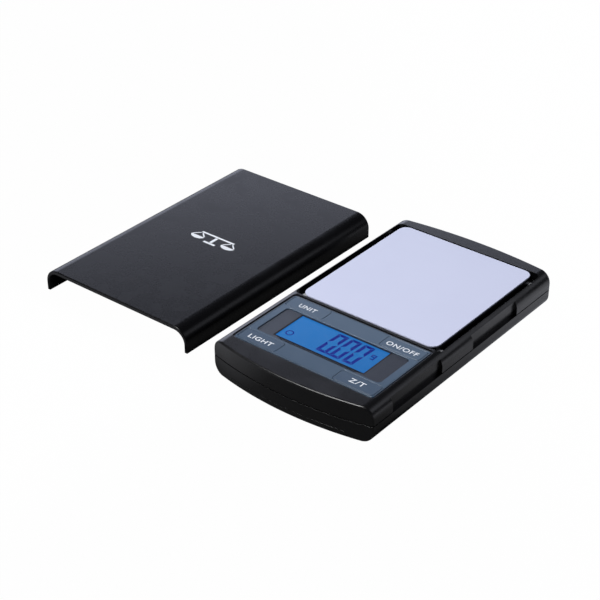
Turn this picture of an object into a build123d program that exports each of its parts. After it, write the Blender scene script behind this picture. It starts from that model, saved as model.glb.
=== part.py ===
from build123d import *
from math import sqrt
import os

# Digital gram scale with its loose slip-on cover.
# Millimetres, +Z up. The origin is the centre of the scale's own footprint, on the table.
# X runs across the scale and Y along it, with the display at the -Y end.
# The cover lies beside the scale, on its -X side, the right way up.

# ---------------------------------------------------------------- outside of the case
case_width = 76.6
case_length = 131.0       # over the middle of the two bowed ends
near_bow = 4.9            # bulge of the display end at its middle
far_bow = 3.2             # bulge of the platform end at its middle
top_radius = 5.0          # long shoulders
bottom_radius = 5.0       # long lower edges
end_edge = 0.8            # rounding round each end face
foot_stand = 0.4          # height of the case above the table

# ---------------------------------------------------------------- layers at the display end
door_thickness = 1.2
cell_clearance = 0.15     # battery to door, and battery to board
battery_diameter = 10.5
board_thickness = 0.8
light_thickness = 0.8
glass_thickness = 1.0
frame_cover = 0.3         # frame that laps over the glass
plate_thickness = 0.6
plate_recess = 0.2        # plate below the rim

case_low = foot_stand
door_top = case_low + door_thickness
battery_axis_z = door_top + cell_clearance + battery_diameter / 2
board_low = battery_axis_z + battery_diameter / 2 + cell_clearance
board_top = board_low + board_thickness
light_top = board_top + light_thickness
glass_top = light_top + glass_thickness
frame_top = glass_top + frame_cover
plate_top = frame_top + plate_thickness
case_top = plate_top + plate_recess

# ---------------------------------------------------------------- layers at the platform end
platform_drop = 0.2       # platform below the rim
sheet_thickness = 0.6
pad_thickness = 0.3
carrier_thickness = 1.6
carrier_gap = 1.0         # carrier above the floor of its well
overload_gap = 0.4        # carrier above its overload stops
well_floor_thickness = 1.2
beam_gap = 1.1            # load cell below the floor of the well

platform_top = case_top - platform_drop
sheet_low = platform_top - sheet_thickness
carrier_top = sheet_low - pad_thickness
carrier_low = carrier_top - carrier_thickness
well_floor_top = carrier_low - carrier_gap
well_floor_low = well_floor_top - well_floor_thickness
beam_top = well_floor_low - beam_gap

# ---------------------------------------------------------------- seam and walls
seam_low = 8.1
seam_gap = 0.45
slot_height = 2.0         # catch slot above the seam, in each side window
lip_inset = 1.6
lip_thickness = 0.8
lip_fit = 0.1
shell_wall = 2.5          # upper shell
floor_thickness = 1.7     # lower shell

seam_high = seam_low + seam_gap
slot_top = seam_high + slot_height
lip_top = slot_top - lip_fit
lower_wall = lip_inset + lip_thickness
floor_top = case_low + floor_thickness

# ---------------------------------------------------------------- front plate, lens and keys
side_rim = 5.2            # case side to plate
near_rim = 11.0           # middle of the near end to plate
plate_length = 37.8
plate_gap = 0.9           # open groove round the plate
plate_corner = 1.0
lens_width = 59.2
lens_length = 19.8
lens_offset_y = 0.0       # lens centre from the plate's centre
lens_corner = 1.6
lens_gap = 0.05
view_width = 42.8
view_length = 17.4
view_offset_x = -0.6      # lit area from the plate's centre
view_offset_y = 1.0
glass_side = 1.2          # glass beyond the lit area at its sides and near edge
glass_far = 0.5           # glass beyond the lit area at its far edge
light_margin = 0.2        # light guide beyond the lit area
led_length = 2.0
led_width = 3.0
led_gap = 0.2
zebra_width = 0.8
key_width = 18.5
key_length = 7.1
key_border = 0.75
key_gap = 0.12
key_corner = 1.2
key_travel = 0.3
flange_width = 0.35
flange_thickness = 0.4
peg_radius = 1.2
frame_lap = 1.1           # frame beyond the plate
frame_thickness = 1.0
moving_clearance = 0.15
part_edge = 0.15          # softened edge of plates and keys

plate_width = case_width - 2 * side_rim
plate_near_y = -case_length / 2 + near_rim
plate_mid_y = plate_near_y + plate_length / 2
plate_far_y = plate_near_y + plate_length
lens_mid_y = plate_mid_y + lens_offset_y
view_mid_y = plate_mid_y + view_offset_y
frame_width = plate_width + 2 * frame_lap
frame_length = plate_length + 2 * frame_lap
frame_low = frame_top - frame_thickness
key_x = plate_width / 2 - key_border - key_width / 2
key_near_y = plate_near_y + key_border + key_length / 2
key_far_y = plate_far_y - key_border - key_length / 2
key_places = {
    "unit": (-key_x, key_far_y),
    "power": (key_x, key_far_y),
    "light": (-key_x, key_near_y),
    "zero": (key_x, key_near_y),
}

# ---------------------------------------------------------------- platform and its well
rim_strip = 0.95          # bar between the plate's groove and the well
well_side_rim = 2.7
far_rim = 7.2             # middle of the far end to the well
well_corner = 2.5
platform_side_gap = 3.0
platform_near_gap = 1.2
platform_far_gap = 0.4
platform_corner = 4.0
platform_edge = 0.2
carrier_inset = 0.6       # carrier inside the platform's edge
carrier_ring = 6.0
carrier_spine = 16.0
carrier_bar = 10.0
pad_size = 10.0
pad_inset = 0.2           # pads inside the carrier's edge
stop_width = 3.4
stop_length = 1.8
stop_inset = 3.7          # stops from the platform's ends
stop_reach = 0.1          # stop centres inside the platform's sides

well_width = case_width - 2 * well_side_rim
well_near_y = plate_far_y + plate_gap + rim_strip
well_far_y = case_length / 2 - far_rim
well_length = well_far_y - well_near_y
well_mid_y = (well_near_y + well_far_y) / 2
platform_width = well_width - 2 * platform_side_gap
platform_length = well_length - platform_near_gap - platform_far_gap
platform_mid_y = well_mid_y + (platform_near_gap - platform_far_gap) / 2
carrier_width = platform_width - 2 * carrier_inset
carrier_length = platform_length - 2 * carrier_inset
carrier_corner = platform_corner - carrier_inset

# ---------------------------------------------------------------- load cell
beam_length = 45.0
beam_width = 12.0
beam_height = 6.0
flexure_bore = 4.6
flexure_spacing = 9.0
flexure_slot = 1.6
gauge_size = 5.0
gauge_thickness = 0.15
beam_screw_radius = 1.5
beam_screw_inset = 4.5
beam_screw_spacing = 6.0
beam_head_radius = 2.7
beam_head_height = 1.4
thread_fit = 0.05
head_fit = 0.2
boss_margin = 1.0
wire_radius = 0.3
wire_pitch = 1.1
wire_count = 4
wire_bend = 0.9
wire_board_inset = 3.0    # wire ends from the board's far edge

beam_low = beam_top - beam_height
beam_near_y = well_mid_y - beam_length / 2
beam_far_y = well_mid_y + beam_length / 2
fixed_screws_y = beam_near_y + beam_screw_inset + beam_screw_spacing / 2
free_screws_y = beam_far_y - beam_screw_inset - beam_screw_spacing / 2
seat_length = 2 * beam_screw_inset + beam_screw_spacing - boss_margin

# ---------------------------------------------------------------- batteries and their door
battery_length = 44.5
nub_radius = 1.9
nub_length = 0.8
battery_gap = 0.5         # between the two batteries
battery_rim = 0.3         # rounding of a battery's end rims
spring_length = 3.4
contact_thickness = 0.3
contact_width = 8.4
contact_height = 7.6
contact_tab_width = 2.0
bay_gap = 0.25
bay_wall = 1.0
door_margin = 3.05        # door beyond the bay, at each side
door_gap = 0.15
door_lap = 1.0            # door beyond the bay, at its far end
door_lip_depth = 3.0      # front lip, behind the middle of the near end
door_lip_height = 2.5
tongue_width = 0.8
tongue_low = 0.5          # tongue above the door's outer face
tongue_thickness = 0.4
tongue_fit = 0.1
web_thickness = 0.4
grip_ribs = 5
grip_pitch = 1.8
grip_width = 16.0
grip_depth = 0.3
grip_offset = 5.4         # middle of the ribs behind the door's front lip
spring_wire = 0.3
spring_base_radius = 3.4
spring_turns = 4
spring_taper = -18.0      # degrees, narrower towards the battery

battery_spacing = battery_diameter + battery_gap
bay_length_x = battery_length + spring_length + 2 * contact_thickness
bay_width_y = battery_spacing + battery_diameter + 2 * bay_gap
bay_far_y = plate_mid_y + bay_width_y / 2
door_width = bay_length_x + 2 * door_margin
door_far_y = bay_far_y + door_lap
near_end_y = -case_length / 2

# ---------------------------------------------------------------- fasteners and feet
screw_side = 7.8          # case screws from the long sides
screw_radius = 1.0
screw_length = 8.0
screw_head_radius = 1.8
screw_head_height = 0.9
screw_sink = 0.05
screw_slot = 0.3          # cross slot's width, as a share of the head's radius
screw_slot_length = 1.3   # its length, as a share of the head's radius
screw_slot_depth = 0.55   # its depth, as a share of the head's height
screw_rounding = 0.4      # of the head's height, and of the shank's radius at its tip
boss_radius = 2.3
boss_side_gap = 0.09      # between a boss and the lip of the lower shell
boss_bury = 0.5           # boss sunk into the floor of the well
boss_seat_gap = 0.1
board_screw_radius = 0.7
board_screw_head = 1.3
board_screw_head_height = 0.6
board_screw_inset = 3.6   # from the frame's sides
board_screw_pitch = 13.0
board_boss_radius = 1.5
foot_length = 9.0
foot_width = 3.0
foot_sink = 0.5
foot_end = 18.25          # feet from the middle of each end

lip_half_width = case_width / 2 - lower_wall
lip_radius = (lip_half_width**2 + near_bow**2) / (2 * near_bow)
lip_centre_y = case_length / 2 - lower_wall - lip_radius
screw_x = case_width / 2 - screw_side
screw_y = lip_centre_y + sqrt((lip_radius - boss_radius - boss_side_gap)**2 - screw_x**2)
foot_y = case_length / 2 - foot_end

# ---------------------------------------------------------------- board parts
board_side_gap = 1.6
board_end_gap = 0.9
switch_size = 4.6
switch_height = 0.8
switch_floor = 0.1
button_radius = 1.15
button_fit = 0.1
button_stand = 0.25       # button above its switch
chip_radius = 2.8
chip_height = 1.2
chip_shoulder = 0.72      # widest point of the chip's dome, as a share of its radius
chip_shoulder_height = 0.68
chip_x = -12.0
part_row_inset = 3.3      # part row from the board's far edge
part_pitch = 4.0
part_count = 5
part_first_x = 6.0

board_width = frame_width - 2 * board_side_gap
board_length = frame_length - 2 * board_end_gap
board_far_y = plate_mid_y + board_length / 2
part_row_y = board_far_y - part_row_inset

# ---------------------------------------------------------------- side windows
window_depth = 1.3
window_near_y = -48.6
window_far_y = 4.5
window_length = 32.0

# ---------------------------------------------------------------- cover
cover_wall = 1.3
cover_roof = 1.8
cover_height = 10.74
cover_length = 121.5
cover_fit = 0.15
cover_edge = 0.5
cover_x = -94.8
cover_y = 2.3
catch_length = 27.0
catch_reach = 1.6
catch_height = 1.2
catch_clearance = 0.1     # seated catch above the foot of its slot

cover_seat_z = case_top - (cover_height - cover_roof)
catch_low = seam_high + catch_clearance - cover_seat_z
cover_inner_width = case_width + 2 * cover_fit
cover_width = cover_inner_width + 2 * cover_wall
cover_inner_radius = top_radius + cover_fit
cover_outer_radius = cover_inner_radius + cover_wall

os.makedirs("parts", exist_ok=True)


def save(piece, name):
    """Label one finished piece and write it to its own file."""
    piece.label = name
    export_step(piece, "parts/" + name + ".step")


def plan_outline(inset):
    """The case seen from above, drawn in by inset: straight sides and bowed ends."""
    half_width = case_width / 2 - inset
    middle_y = case_length / 2 - inset
    near_y = near_bow - middle_y
    far_y = middle_y - far_bow
    with BuildSketch() as plan:
        with BuildLine():
            Line((half_width, near_y), (half_width, far_y))
            ThreePointArc((half_width, far_y), (0, middle_y), (-half_width, far_y))
            Line((-half_width, far_y), (-half_width, near_y))
            ThreePointArc((-half_width, near_y), (0, -middle_y), (half_width, near_y))
        make_face()
    return plan.sketch


def case_form(inset, low, high, low_radius=0.0, high_radius=0.0):
    """The case's shape drawn in by inset, between two heights, with its long edges rounded."""
    with BuildPart() as form:
        with BuildSketch(Plane.XZ) as section:
            with Locations((0, (low + high) / 2)):
                Rectangle(case_width - 2 * inset, high - low)
            if high_radius > 0:
                fillet(section.vertices().group_by(Axis.Y)[-1], radius=high_radius)
            if low_radius > 0:
                fillet(section.vertices().group_by(Axis.Y)[0], radius=low_radius)
        extrude(amount=case_length, both=True)
        with BuildSketch(Plane.XY.offset(low)):
            add(plan_outline(inset))
        extrude(amount=high - low, mode=Mode.INTERSECT)
    return form.part


def slab(x_low, x_high, y_low, y_high, z_low, z_high):
    """A plain block between six limits, for cutting and joining."""
    with BuildPart() as block:
        with Locations(((x_low + x_high) / 2, (y_low + y_high) / 2, (z_low + z_high) / 2)):
            Box(x_high - x_low, y_high - y_low, z_high - z_low)
    return block.part


def rounded_slab(width, length, corner, mid_x, mid_y, z_low, z_high):
    """A block with rounded upright corners."""
    with BuildPart() as block:
        with BuildSketch(Plane.XY.offset(z_low)):
            with Locations((mid_x, mid_y)):
                RectangleRounded(width, length, corner)
        extrude(amount=z_high - z_low)
    return block.part


def screw(head_radius, head_height, shank_radius, length):
    """A pan-head screw that points up, with the underside of its head at z = 0."""
    slot_width = head_radius * screw_slot
    slot_length = head_radius * screw_slot_length
    with BuildPart() as body:
        with BuildSketch(Plane.XY.offset(-head_height)):
            Circle(head_radius)
        extrude(amount=head_height)
        head_rim = body.edges().filter_by(GeomType.CIRCLE).sort_by(Axis.Z)[0]
        fillet(head_rim, radius=head_height * screw_rounding)
        with BuildSketch():
            Circle(shank_radius)
        extrude(amount=length)
        shank_tip = body.edges().filter_by(GeomType.CIRCLE).sort_by(Axis.Z)[-1]
        chamfer(shank_tip, length=shank_radius * screw_rounding)
        with BuildSketch(Plane.XY.offset(-head_height)):
            Rectangle(slot_length, slot_width)
            Rectangle(slot_width, slot_length)
        extrude(amount=head_height * screw_slot_depth, mode=Mode.SUBTRACT)
    return body.part


# ================================================================ case shells
case_section = case_form(0, case_low, case_top, bottom_radius, top_radius)
with BuildPart() as case_block:
    add(case_section)
    end_faces = case_block.faces().sort_by(Axis.Y)
    fillet(end_faces[0].edges() + end_faces[-1].edges(), radius=end_edge)

window_spans = [(low, low + window_length) for low in (window_near_y, window_far_y)]
beyond = case_length      # reach of a cut that has to clear the case

with BuildPart() as top_shell:
    add(case_block.part)
    split(bisect_by=Plane.XY.offset(seam_high), keep=Keep.TOP)
    # room below the well, and the rebate that takes the lower shell's lip
    add(case_form(shell_wall, seam_high, well_floor_low), mode=Mode.SUBTRACT)
    add(case_form(lip_inset - lip_fit, seam_high, slot_top), mode=Mode.SUBTRACT)
    # room for the display, open upwards to the front plate
    add(
        rounded_slab(frame_width + 2 * moving_clearance, frame_length + 2 * moving_clearance, plate_corner,
                     0, plate_mid_y, seam_high, frame_top),
        mode=Mode.SUBTRACT,
    )
    add(
        rounded_slab(plate_width + 2 * plate_gap, plate_length + 2 * plate_gap, plate_corner + plate_gap,
                     0, plate_mid_y, seam_high, case_top),
        mode=Mode.SUBTRACT,
    )
    # well of the platform, and the hole that the carrier's boss passes through
    add(
        rounded_slab(well_width, well_length, well_corner, 0, well_mid_y, well_floor_top, case_top),
        mode=Mode.SUBTRACT,
    )
    add(
        rounded_slab(beam_width + 2 * (moving_clearance + boss_margin),
                     seat_length + 2 * (moving_clearance + boss_margin),
                     boss_margin, 0, free_screws_y, well_floor_low, well_floor_top),
        mode=Mode.SUBTRACT,
    )
    # side windows: a flat facet on each shoulder, and below it the slot for the cover's catch
    for side in (-1, 1):
        facet_x = side * (case_width / 2 - window_depth)
        slot_x = side * (case_width / 2 - lip_inset)
        for y_low, y_high in window_spans:
            add(
                slab(min(facet_x, side * beyond), max(facet_x, side * beyond), y_low, y_high,
                     seam_high, case_top),
                mode=Mode.SUBTRACT,
            )
            add(
                slab(min(slot_x, side * beyond), max(slot_x, side * beyond), y_low, y_high,
                     seam_high, slot_top),
                mode=Mode.SUBTRACT,
            )
    # screw bosses
    with BuildSketch(Plane.XY.offset(floor_top + boss_seat_gap)):
        with GridLocations(2 * screw_x, 2 * screw_y, 2, 2):
            Circle(boss_radius)
    extrude(amount=well_floor_low + boss_bury - floor_top - boss_seat_gap)
    with BuildSketch(Plane.XY.offset(floor_top + boss_seat_gap)):
        with GridLocations(2 * screw_x, 2 * screw_y, 2, 2):
            Circle(screw_radius + thread_fit)
    extrude(amount=screw_length, mode=Mode.SUBTRACT)
save(top_shell.part, "top_shell")

with BuildPart() as bottom_shell:
    add(case_block.part)
    split(bisect_by=Plane.XY.offset(seam_low), keep=Keep.BOTTOM)
    add(case_form(lip_inset, floor_top, lip_top, bottom_radius - lip_inset))
    add(
        case_form(lower_wall, floor_top, lip_top, bottom_radius - lower_wall),
        mode=Mode.SUBTRACT,
    )
    # seat under the fixed end of the load cell
    add(
        slab(-beam_width / 2 - boss_margin, beam_width / 2 + boss_margin, fixed_screws_y - seat_length / 2,
             fixed_screws_y + seat_length / 2, case_low + floor_thickness / 2, beam_low)
    )
    # walls of the battery bay
    add(
        slab(-bay_length_x / 2 - bay_wall, bay_length_x / 2 + bay_wall,
             plate_mid_y - bay_width_y / 2 - bay_wall, bay_far_y + bay_wall,
             floor_top - web_thickness, board_low - cell_clearance)
    )
    add(
        slab(-bay_length_x / 2, bay_length_x / 2, plate_mid_y - bay_width_y / 2, bay_far_y,
             case_low, board_low),
        mode=Mode.SUBTRACT,
    )
    # room under the board for its chip
    add(
        slab(chip_x - chip_radius - cell_clearance, chip_x + chip_radius + cell_clearance,
             part_row_y - chip_radius - cell_clearance, part_row_y + chip_radius + cell_clearance,
             board_low - chip_height - cell_clearance, board_low),
        mode=Mode.SUBTRACT,
    )
    # recess for the door, with its grooves and the notch for its front lip
    door_half = door_width / 2 + door_gap
    groove_half = door_half + tongue_width
    add(
        slab(-door_half, door_half, -beyond, door_far_y + door_gap, case_low, floor_top - web_thickness),
        mode=Mode.SUBTRACT,
    )
    add(
        slab(-groove_half, groove_half, -beyond, door_far_y + door_gap,
             case_low + tongue_low - tongue_fit, case_low + tongue_low + tongue_thickness + tongue_fit),
        mode=Mode.SUBTRACT,
    )
    add(
        slab(-door_half, door_half, -beyond, near_end_y + door_lip_depth + door_gap,
             case_low, case_low + door_lip_height + door_gap),
        mode=Mode.SUBTRACT,
    )
    # holes for the case screws and the load cell's screws, from below
    with Locations(Plane((0, 0, case_low), z_dir=(0, 0, -1))):
        with GridLocations(2 * screw_x, 2 * screw_y, 2, 2):
            CounterBoreHole(radius=screw_radius + head_fit,
                            counter_bore_radius=screw_head_radius + head_fit / 2,
                            counter_bore_depth=screw_head_height + screw_sink,
                            depth=floor_thickness * 2)
    with Locations(Plane((0, fixed_screws_y, case_low), z_dir=(0, 0, -1))):
        with GridLocations(beam_screw_spacing, beam_screw_spacing, 1, 2):
            CounterBoreHole(radius=beam_screw_radius + head_fit / 2,
                            counter_bore_radius=beam_head_radius + head_fit,
                            counter_bore_depth=beam_head_height + head_fit,
                            depth=beam_low - case_low)
    # recesses for the feet
    with BuildSketch(Plane.XY.offset(case_low)):
        with GridLocations(2 * screw_x, 2 * foot_y, 2, 2):
            SlotOverall(foot_length, foot_width, rotation=90)
    extrude(amount=foot_sink, mode=Mode.SUBTRACT)
save(bottom_shell.part, "bottom_shell")

with BuildPart() as feet:
    with BuildSketch():
        with GridLocations(2 * screw_x, 2 * foot_y, 2, 2):
            SlotOverall(foot_length, foot_width, rotation=90)
    extrude(amount=foot_stand + foot_sink)
    fillet(feet.edges().group_by(Axis.Z)[0], radius=foot_stand / 2)
save(feet.part, "feet")

# ================================================================ display end
with BuildPart() as front_plate:
    with BuildSketch(Plane.XY.offset(frame_top)):
        with Locations((0, plate_mid_y)):
            RectangleRounded(plate_width, plate_length, plate_corner)
        with Locations((0, lens_mid_y)):
            RectangleRounded(lens_width + 2 * lens_gap, lens_length + 2 * lens_gap, lens_corner,
                             mode=Mode.SUBTRACT)
        with Locations(*key_places.values()):
            RectangleRounded(key_width + 2 * key_gap, key_length + 2 * key_gap, key_corner,
                             mode=Mode.SUBTRACT)
    extrude(amount=plate_thickness)
    chamfer(front_plate.edges().group_by(Axis.Z)[-1], length=part_edge)
save(front_plate.part, "front_plate")

with BuildPart() as display_lens:
    add(rounded_slab(lens_width, lens_length, lens_corner, 0, lens_mid_y, frame_top, plate_top))
    chamfer(display_lens.edges().group_by(Axis.Z)[-1], length=part_edge)
save(display_lens.part, "display_lens")

glass_width = view_width + 2 * glass_side
glass_low_y = view_mid_y - view_length / 2 - glass_side
glass_high_y = view_mid_y + view_length / 2 + glass_far
glass_mid_y = (glass_low_y + glass_high_y) / 2
board_screw_x = frame_width / 2 - board_screw_inset

with BuildPart() as lcd_frame:
    with BuildSketch(Plane.XY.offset(frame_low)):
        with Locations((0, plate_mid_y)):
            RectangleRounded(frame_width, frame_length, plate_corner)
        with Locations(*key_places.values()):
            Rectangle(key_width + 2 * (flange_width + moving_clearance), key_length + 2 * moving_clearance,
                      mode=Mode.SUBTRACT)
        with Locations((view_offset_x, view_mid_y)):
            Rectangle(view_width, view_length, mode=Mode.SUBTRACT)
    extrude(amount=frame_thickness)
    with BuildSketch(Plane.XY.offset(board_top)):
        with Locations((0, plate_mid_y)):
            with GridLocations(2 * board_screw_x, board_screw_pitch, 2, 2):
                Circle(board_boss_radius)
    extrude(amount=frame_low - board_top)
    with BuildSketch(Plane.XY.offset(frame_low)):
        with Locations((view_offset_x, glass_mid_y)):
            Rectangle(glass_width + 2 * thread_fit, glass_high_y - glass_low_y + 2 * thread_fit)
    extrude(amount=glass_top - frame_low, mode=Mode.SUBTRACT)
    with BuildSketch(Plane.XY.offset(board_top)):
        with Locations((0, plate_mid_y)):
            with GridLocations(2 * board_screw_x, board_screw_pitch, 2, 2):
                Circle(board_screw_radius + thread_fit)
    extrude(amount=frame_top - board_top - frame_cover, mode=Mode.SUBTRACT)
save(lcd_frame.part, "lcd_frame")

with BuildPart() as lcd_glass:
    with BuildSketch(Plane.XY.offset(light_top)):
        with Locations((view_offset_x, glass_mid_y)):
            Rectangle(glass_width, glass_high_y - glass_low_y)
    extrude(amount=glass_thickness)
save(lcd_glass.part, "lcd_glass")

with BuildPart() as lcd_backlight:
    with BuildSketch(Plane.XY.offset(board_top)):
        with Locations((view_offset_x, view_mid_y)):
            Rectangle(view_width + 2 * light_margin, view_length + 2 * light_margin)
    extrude(amount=light_thickness)
save(lcd_backlight.part, "lcd_backlight")

light_end_x = view_offset_x + view_width / 2 + light_margin
with BuildPart() as backlight_led:
    with BuildSketch(Plane.XY.offset(board_top)):
        with Locations((light_end_x + led_gap + led_length / 2, view_mid_y)):
            Rectangle(led_length, led_width)
    extrude(amount=light_thickness - led_gap)
save(backlight_led.part, "backlight_led")

with BuildPart() as zebra_strip:
    with BuildSketch(Plane.XY.offset(board_top)):
        with Locations((view_offset_x, glass_low_y + zebra_width / 2)):
            Rectangle(view_width, zebra_width)
    extrude(amount=light_thickness)
save(zebra_strip.part, "zebra_strip")

with BuildPart() as main_board:
    with BuildSketch(Plane.XY.offset(board_low)):
        with Locations((0, plate_mid_y)):
            RectangleRounded(board_width, board_length, plate_corner)
            with GridLocations(2 * board_screw_x, board_screw_pitch, 2, 2):
                Circle(board_screw_radius + head_fit / 2, mode=Mode.SUBTRACT)
    extrude(amount=board_thickness)
save(main_board.part, "main_board")

with BuildPart() as board_screws:
    with Locations((0, plate_mid_y, board_low)):
        with GridLocations(2 * board_screw_x, board_screw_pitch, 2, 2):
            add(screw(board_screw_head, board_screw_head_height, board_screw_radius,
                      frame_low - board_low + frame_cover))
save(board_screws.part, "board_screws")

with BuildPart() as controller_chip:
    with BuildSketch(Plane.XZ.offset(-part_row_y)):
        with BuildLine():
            Line((chip_x, board_low), (chip_x, board_low - chip_height))
            ThreePointArc((chip_x, board_low - chip_height),
                          (chip_x + chip_radius * chip_shoulder,
                           board_low - chip_height * chip_shoulder_height),
                          (chip_x + chip_radius, board_low))
            Line((chip_x + chip_radius, board_low), (chip_x, board_low))
        make_face()
    revolve(axis=Axis((chip_x, part_row_y, 0), (0, 0, 1)))
save(controller_chip.part, "controller_chip")

part_sizes = [(3.2, 1.6, 1.2), (1.6, 0.8, 0.8), (1.6, 0.8, 0.8), (2.0, 1.2, 0.9), (1.6, 0.8, 0.8)]
with BuildPart() as board_parts:
    for index in range(part_count):
        part_width, part_depth, part_height = part_sizes[index]
        with Locations((part_first_x + index * part_pitch, part_row_y,
                        board_low - part_height / 2)):
            Box(part_width, part_depth, part_height)
save(board_parts.part, "board_parts")

with BuildPart() as switch_bodies:
    with BuildSketch(Plane.XY.offset(board_top)):
        with Locations(*key_places.values()):
            Rectangle(switch_size, switch_size)
    extrude(amount=switch_height)
    with BuildSketch(Plane.XY.offset(board_top + switch_floor)):
        with Locations(*key_places.values()):
            Circle(button_radius + button_fit)
    extrude(amount=switch_height, mode=Mode.SUBTRACT)
save(switch_bodies.part, "switch_bodies")

button_top = board_top + switch_height + button_stand
button_low = board_top + switch_floor + key_travel + button_fit / 2
for key_name, (mid_x, mid_y) in key_places.items():
    with BuildPart() as key:
        with BuildSketch(Plane.XY.offset(frame_top)):
            with Locations((mid_x, mid_y)):
                RectangleRounded(key_width, key_length, key_corner)
        extrude(amount=plate_thickness)
        chamfer(key.edges().group_by(Axis.Z)[-1], length=part_edge)
        with BuildSketch(Plane.XY.offset(frame_top - flange_thickness)):
            with Locations((mid_x, mid_y)):
                Rectangle(key_width + 2 * flange_width, key_length)
        extrude(amount=flange_thickness)
        with BuildSketch(Plane.XY.offset(button_top)):
            with Locations((mid_x, mid_y)):
                Circle(peg_radius)
        extrude(amount=frame_top - button_top)
    save(key.part, "key_" + key_name)

    with BuildPart() as button:
        with BuildSketch(Plane.XY.offset(button_low)):
            with Locations((mid_x, mid_y)):
                Circle(button_radius)
        extrude(amount=button_top - button_low)
    save(button.part, "switch_button_" + key_name)

# ================================================================ platform end
with BuildPart() as platform:
    add(rounded_slab(platform_width, platform_length, platform_corner, 0, platform_mid_y,
                     sheet_low, platform_top))
    fillet(platform.edges().group_by(Axis.Z)[-1], radius=platform_edge)
save(platform.part, "platform")

with BuildPart() as adhesive_pads:
    with BuildSketch(Plane.XY.offset(carrier_top)):
        with Locations((0, platform_mid_y)):
            with GridLocations(carrier_width - pad_size - 2 * pad_inset,
                               carrier_length - pad_size - 2 * pad_inset, 2, 2):
                RectangleRounded(pad_size, pad_size, carrier_corner)
    extrude(amount=pad_thickness)
save(adhesive_pads.part, "adhesive_pads")

opening_width = (carrier_width - carrier_spine) / 2 - carrier_ring
opening_length = (carrier_length - carrier_bar) / 2 - carrier_ring
with BuildPart() as platform_carrier:
    with BuildSketch(Plane.XY.offset(carrier_low)):
        with Locations((0, platform_mid_y)):
            RectangleRounded(carrier_width, carrier_length, carrier_corner)
            with GridLocations(carrier_spine + opening_width, carrier_bar + opening_length, 2, 2):
                RectangleRounded(opening_width, opening_length, carrier_corner, mode=Mode.SUBTRACT)
    extrude(amount=carrier_thickness)
    add(slab(-beam_width / 2, beam_width / 2, free_screws_y - seat_length / 2,
             free_screws_y + seat_length / 2, beam_top, carrier_low))
    with Locations((0, free_screws_y, carrier_top)):
        with GridLocations(beam_screw_spacing, beam_screw_spacing, 1, 2):
            CounterBoreHole(radius=beam_screw_radius + head_fit / 2,
                            counter_bore_radius=beam_head_radius + head_fit,
                            counter_bore_depth=beam_head_height + head_fit)
save(platform_carrier.part, "platform_carrier")

with BuildPart() as load_cell:
    add(slab(-beam_width / 2, beam_width / 2, beam_near_y, beam_far_y, beam_low, beam_top))
    with BuildSketch(Plane.YZ) as flexure:
        with Locations((well_mid_y, (beam_low + beam_top) / 2)):
            with GridLocations(flexure_spacing, flexure_spacing, 2, 1):
                Circle(flexure_bore / 2)
            Rectangle(flexure_spacing, flexure_slot)
    extrude(amount=beam_width, both=True, mode=Mode.SUBTRACT)
    for screws_y in (fixed_screws_y, free_screws_y):
        with Locations((0, screws_y, beam_top)):
            with GridLocations(beam_screw_spacing, beam_screw_spacing, 1, 2):
                Hole(radius=beam_screw_radius + thread_fit)
save(load_cell.part, "load_cell")

with BuildPart() as strain_gauges:
    for gauge_low in (beam_top, beam_low - gauge_thickness):
        with BuildSketch(Plane.XY.offset(gauge_low)):
            with Locations((0, well_mid_y)):
                with GridLocations(flexure_spacing, flexure_spacing, 1, 2):
                    Rectangle(gauge_size, gauge_size)
        extrude(amount=gauge_thickness)
save(strain_gauges.part, "strain_gauges")

wire_z = beam_top + gauge_thickness + wire_radius
wire_start_y = well_mid_y - flexure_spacing / 2
wire_end_y = board_far_y - wire_board_inset
with BuildPart() as cell_wires:
    for index in range(wire_count):
        wire_x = (index - (wire_count - 1) / 2) * wire_pitch
        with BuildLine() as wire_path:
            FilletPolyline((wire_x, wire_start_y, wire_z), (wire_x, wire_end_y, wire_z),
                           (wire_x, wire_end_y, board_low), radius=wire_bend)
        with BuildSketch(Plane((wire_x, wire_start_y, wire_z), z_dir=(0, -1, 0))):
            Circle(wire_radius)
        sweep(path=wire_path.wires()[0])
save(cell_wires.part, "cell_wires")

with BuildPart() as cell_screws:
    with Locations((0, fixed_screws_y, case_low + beam_head_height + head_fit)):
        with GridLocations(beam_screw_spacing, beam_screw_spacing, 1, 2):
            add(screw(beam_head_radius, beam_head_height, beam_screw_radius,
                      beam_top - case_low - beam_head_height - boss_margin))
save(cell_screws.part, "cell_screws")

with BuildPart() as carrier_screws:
    with Locations(Location((0, free_screws_y, carrier_top - beam_head_height - head_fit), (180, 0, 0))):
        with GridLocations(beam_screw_spacing, beam_screw_spacing, 1, 2):
            add(screw(beam_head_radius, beam_head_height, beam_screw_radius,
                      carrier_low - beam_low - boss_margin))
save(carrier_screws.part, "carrier_screws")

with BuildPart() as overload_stops:
    with BuildSketch(Plane.XY.offset(well_floor_top)):
        with Locations((0, platform_mid_y)):
            with GridLocations(platform_width - 2 * stop_reach, platform_length - 2 * stop_inset, 2, 2):
                Rectangle(stop_width, stop_length)
    extrude(amount=carrier_gap - overload_gap)
save(overload_stops.part, "overload_stops")

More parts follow.
